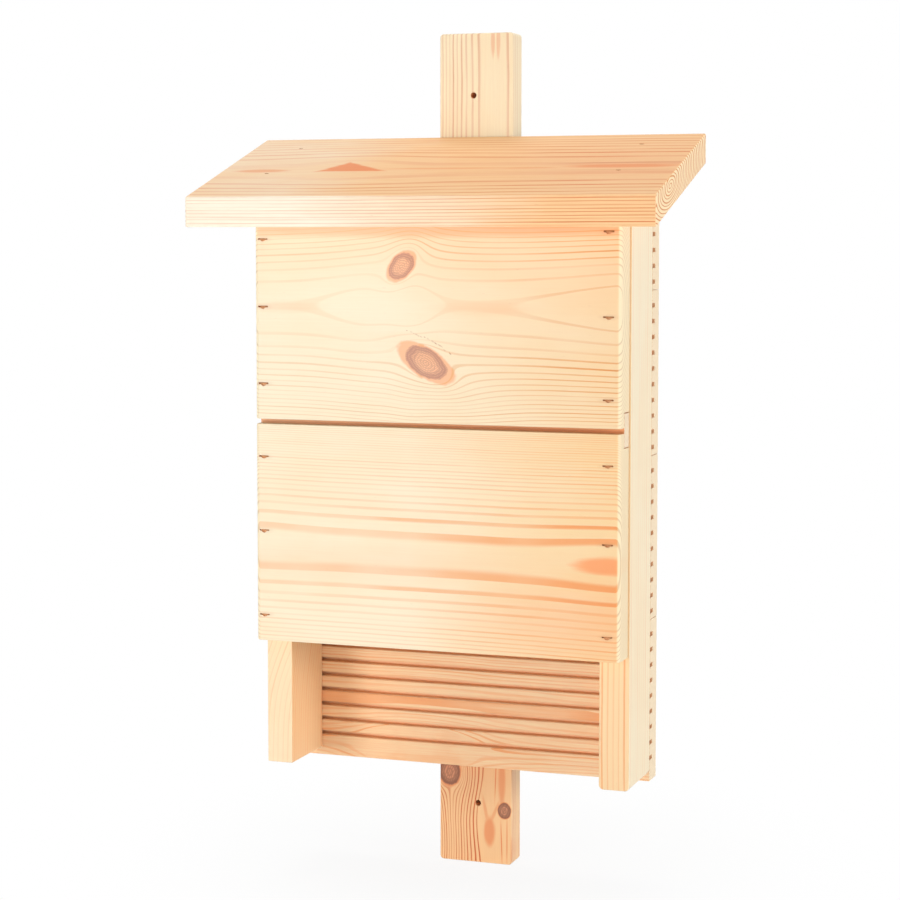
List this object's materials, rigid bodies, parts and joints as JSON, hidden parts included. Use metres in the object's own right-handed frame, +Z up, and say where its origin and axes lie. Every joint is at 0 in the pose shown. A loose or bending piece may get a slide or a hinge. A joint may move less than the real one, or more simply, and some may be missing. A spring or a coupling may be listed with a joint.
{
  "type": "bat box",
  "caption": "Flat wooden bat box on a long hanging batten, with a sloping roof board, a boarded front, an open foot between side rails and a grooved back for bats to grip.",
  "frame": {"origin": "on the back of the hanging batten, halfway up it and midway between the side rails, where the box lies against the wall or tree", "axes": "+Y into the wall, square to the back of the batten, +Z up along the batten, +X to the right as the box is seen from the front"},
  "size_m": [0.3715, 0.1774, 0.675],
  "materials": {
    "front_wood": "planed softwood, unfinished",
    "rail_wood": "planed softwood, unfinished",
    "strip_wood": "sawn softwood, unfinished",
    "back_wood": "sawn softwood with kerfed grooves, unfinished",
    "batten_wood": "planed knotty softwood, unfinished",
    "roof_wood": "planed softwood, unfinished",
    "staple_steel": "dull wire",
    "screw_steel": "plated"
  },
  "bodies": {
    "root": {"back_board_1": "back_wood", "back_board_1_screw": "screw_steel", "back_board_1_staple_left_1": "staple_steel", "back_board_1_staple_left_2": "staple_steel", "back_board_1_staple_right_1": "staple_steel", "back_board_1_staple_right_2": "staple_steel", "back_board_2": "back_wood", "back_board_2_screw": "screw_steel", "back_board_2_staple_left_1": "staple_steel", "back_board_2_staple_left_2": "staple_steel", "back_board_2_staple_right_1": "staple_steel", "back_board_2_staple_right_2": "staple_steel", "back_board_3": "back_wood", "back_board_3_screw": "screw_steel", "back_board_3_staple_left_1": "staple_steel", "back_board_3_staple_left_2": "staple_steel", "back_board_3_staple_right_1": "staple_steel", "back_board_3_staple_right_2": "staple_steel", "back_board_4": "back_wood", "back_board_4_screw": "screw_steel", "back_board_4_staple_left_1": "staple_steel", "back_board_4_staple_left_2": "staple_steel", "back_board_4_staple_right_1": "staple_steel", "back_board_4_staple_right_2": "staple_steel", "front_board_lower": "front_wood", "front_board_upper": "front_wood", "front_staple_lower_left_1": "staple_steel", "front_staple_lower_left_2": "staple_steel", "front_staple_lower_left_3": "staple_steel", "front_staple_lower_right_1": "staple_steel", "front_staple_lower_right_2": "staple_steel", "front_staple_lower_right_3": "staple_steel", "front_staple_upper_left_1": "staple_steel", "front_staple_upper_left_2": "staple_steel", "front_staple_upper_left_3": "staple_steel", "front_staple_upper_right_1": "staple_steel", "front_staple_upper_right_2": "staple_steel", "front_staple_upper_right_3": "staple_steel", "gap_strip": "strip_wood", "hanging_batten": "batten_wood", "rail_left": "rail_wood", "rail_right": "rail_wood", "roof_board": "roof_wood", "roof_staple_left_1": "staple_steel", "roof_staple_left_2": "staple_steel", "roof_staple_right_1": "staple_steel", "roof_staple_right_2": "staple_steel"}
  },
  "joints": []
}
